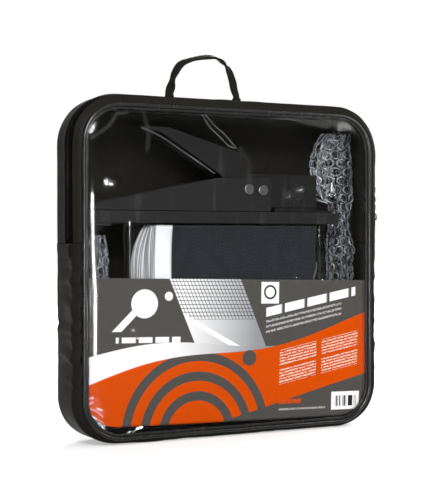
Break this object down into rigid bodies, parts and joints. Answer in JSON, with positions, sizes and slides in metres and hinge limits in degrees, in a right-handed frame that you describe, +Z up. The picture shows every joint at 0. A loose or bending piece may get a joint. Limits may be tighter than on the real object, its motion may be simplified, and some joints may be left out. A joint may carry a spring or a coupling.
{
  "type": "table tennis net clamp set",
  "caption": "Spring clip table tennis net clamps with posts and a folded net, packed in a zipped soft case with a clear fold-down front, a card and a carry handle.",
  "frame": {"origin": "on the floor under the middle of the whole object's box", "axes": "+Z up, +Y to the back of the case, +X to the right as seen from the front"},
  "size_m": [0.2878, 0.0462, 0.3167],
  "materials": {
    "satin_fabric": "black coated nylon with a satin sheen",
    "gloss_trim": "black gloss vinyl binding",
    "zip_tape": "black woven zip tape",
    "clear_film": "clear flexible film",
    "black_paint": "black powder coat",
    "black_plastic": "moulded black",
    "pad_rubber": "matt",
    "bright_steel": "bright plated",
    "printed_card": "printed, satin varnish",
    "net_cord": "knotless dark net",
    "white_tape": "white cotton tape"
  },
  "bodies": {
    "case": {"back_panel": "satin_fabric", "back_piping": "gloss_trim", "lower_gusset": "satin_fabric", "front_border_lower": "gloss_trim", "window_lower": "clear_film", "front_piping_lower": "gloss_trim", "upper_gusset_back": "satin_fabric", "zip_tape_back": "zip_tape", "zip_teeth_back": "black_plastic", "zip_end_tab_left": "satin_fabric", "zip_end_tab_right": "satin_fabric", "handle_foot_left": "satin_fabric", "handle_foot_right": "satin_fabric", "insert_card": "printed_card", "folded_net": "net_cord", "net_tape": "white_tape", "net_pouch": "clear_film", "bubble_wrap_left": "clear_film", "bubble_wrap_right": "clear_film", "rail_a": "black_paint", "bracket_a": "black_paint", "pivot_pin_a": "bright_steel", "stop_pin_a": "bright_steel", "clip_spring_a": "bright_steel", "upper_jaw_pad_a": "pad_rubber", "post_screw_a": "bright_steel", "post_base_a": "black_plastic", "post_tube_a": "black_paint", "post_cap_a": "black_plastic", "rail_b": "black_paint", "bracket_b": "black_paint", "pivot_pin_b": "bright_steel", "stop_pin_b": "bright_steel", "clip_spring_b": "bright_steel", "upper_jaw_pad_b": "pad_rubber", "post_screw_b": "bright_steel", "post_base_b": "black_plastic", "post_tube_b": "black_paint", "post_cap_b": "black_plastic"},
    "upper_front": {"upper_gusset_front": "satin_fabric", "zip_tape_front": "zip_tape", "zip_teeth_front": "black_plastic", "front_border_upper": "gloss_trim", "window_upper": "clear_film", "front_piping_upper": "gloss_trim"},
    "slider_upper": {"zip_slider_upper": "bright_steel"},
    "slider_lower": {"zip_slider_lower": "bright_steel"},
    "pull_upper": {"zip_pull_upper": "bright_steel"},
    "pull_lower": {"zip_pull_lower": "bright_steel"},
    "handle": {"carry_handle": "satin_fabric"},
    "lever_a": {"clip_lever_a": "black_paint", "lower_jaw_pad_a": "pad_rubber"},
    "lever_b": {"clip_lever_b": "black_paint", "lower_jaw_pad_b": "pad_rubber"},
    "knob_a": {"height_knob_a": "black_plastic"},
    "knob_b": {"height_knob_b": "black_plastic"},
    "hook_a": {"net_hook_a": "bright_steel"},
    "hook_b": {"net_hook_b": "bright_steel"}
  },
  "joints": [
    {"name": "front_fold", "type": "hinge", "parent": "case", "child": "upper_front", "pos_m": [0, -0.0233, 0.15815], "axis": [1, 0, 0], "range_deg": [0, 170]},
    {"name": "slider_upper_travel", "type": "slide", "parent": "case", "child": "slider_upper", "axis": [0, 0, 1], "range_m": [0, 0.026]},
    {"name": "slider_lower_travel", "type": "slide", "parent": "case", "child": "slider_lower", "axis": [0, 0, 1], "range_m": [-0.021, 0]},
    {"name": "pull_upper_swing", "type": "hinge", "parent": "slider_upper", "child": "pull_upper", "pos_m": [0.1417, -0.009, 0.2042], "axis": [0, -1, 0], "range_deg": [0, 150]},
    {"name": "pull_lower_swing", "type": "hinge", "parent": "slider_lower", "child": "pull_lower", "pos_m": [0.1417, -0.009, 0.1892], "axis": [0, -1, 0], "range_deg": [0, 150]},
    {"name": "handle_fold", "type": "hinge", "parent": "case", "child": "handle", "pos_m": [-0.018, 0.006, 0.2798], "axis": [1, 0, 0], "range_deg": [-70, 70]},
    {"name": "clip_squeeze_a", "type": "hinge", "parent": "case", "child": "lever_a", "pos_m": [0.01345, -0.004, 0.203], "axis": [0, -1, 0], "range_deg": [0, 25], "stiffness_Nm_per_rad": 1.5, "springref_deg": -34.38, "deforming": ["clip_spring_a"]},
    {"name": "clip_squeeze_b", "type": "hinge", "parent": "case", "child": "lever_b", "pos_m": [-0.01775, 0.0058, 0.0696], "axis": [0, -1, 0], "range_deg": [0, 25], "stiffness_Nm_per_rad": 1.5, "springref_deg": -34.38, "deforming": ["clip_spring_b"]},
    {"name": "height_turn_a", "type": "hinge", "parent": "case", "child": "knob_a", "pos_m": [-0.12115, -0.004, 0.04], "axis": [0, 0, -1], "range_deg": [0, 1080]},
    {"name": "height_turn_b", "type": "hinge", "parent": "case", "child": "knob_b", "pos_m": [0.11685, 0.0058, 0.23], "axis": [0, 0, 1], "range_deg": [0, 1080]},
    {"name": "hook_lift_a", "type": "slide", "parent": "case", "child": "hook_a", "axis": [0, 0, -1], "range_m": [0, 0.006]},
    {"name": "hook_lift_b", "type": "slide", "parent": "case", "child": "hook_b", "axis": [0, 0, 1], "range_m": [0, 0.006]}
  ],
  "couplings": [
    {"joint": "height_turn_a", "follows": "hook_lift_a", "rad_per_m": 3141.6},
    {"joint": "height_turn_b", "follows": "hook_lift_b", "rad_per_m": 3141.6}
  ]
}
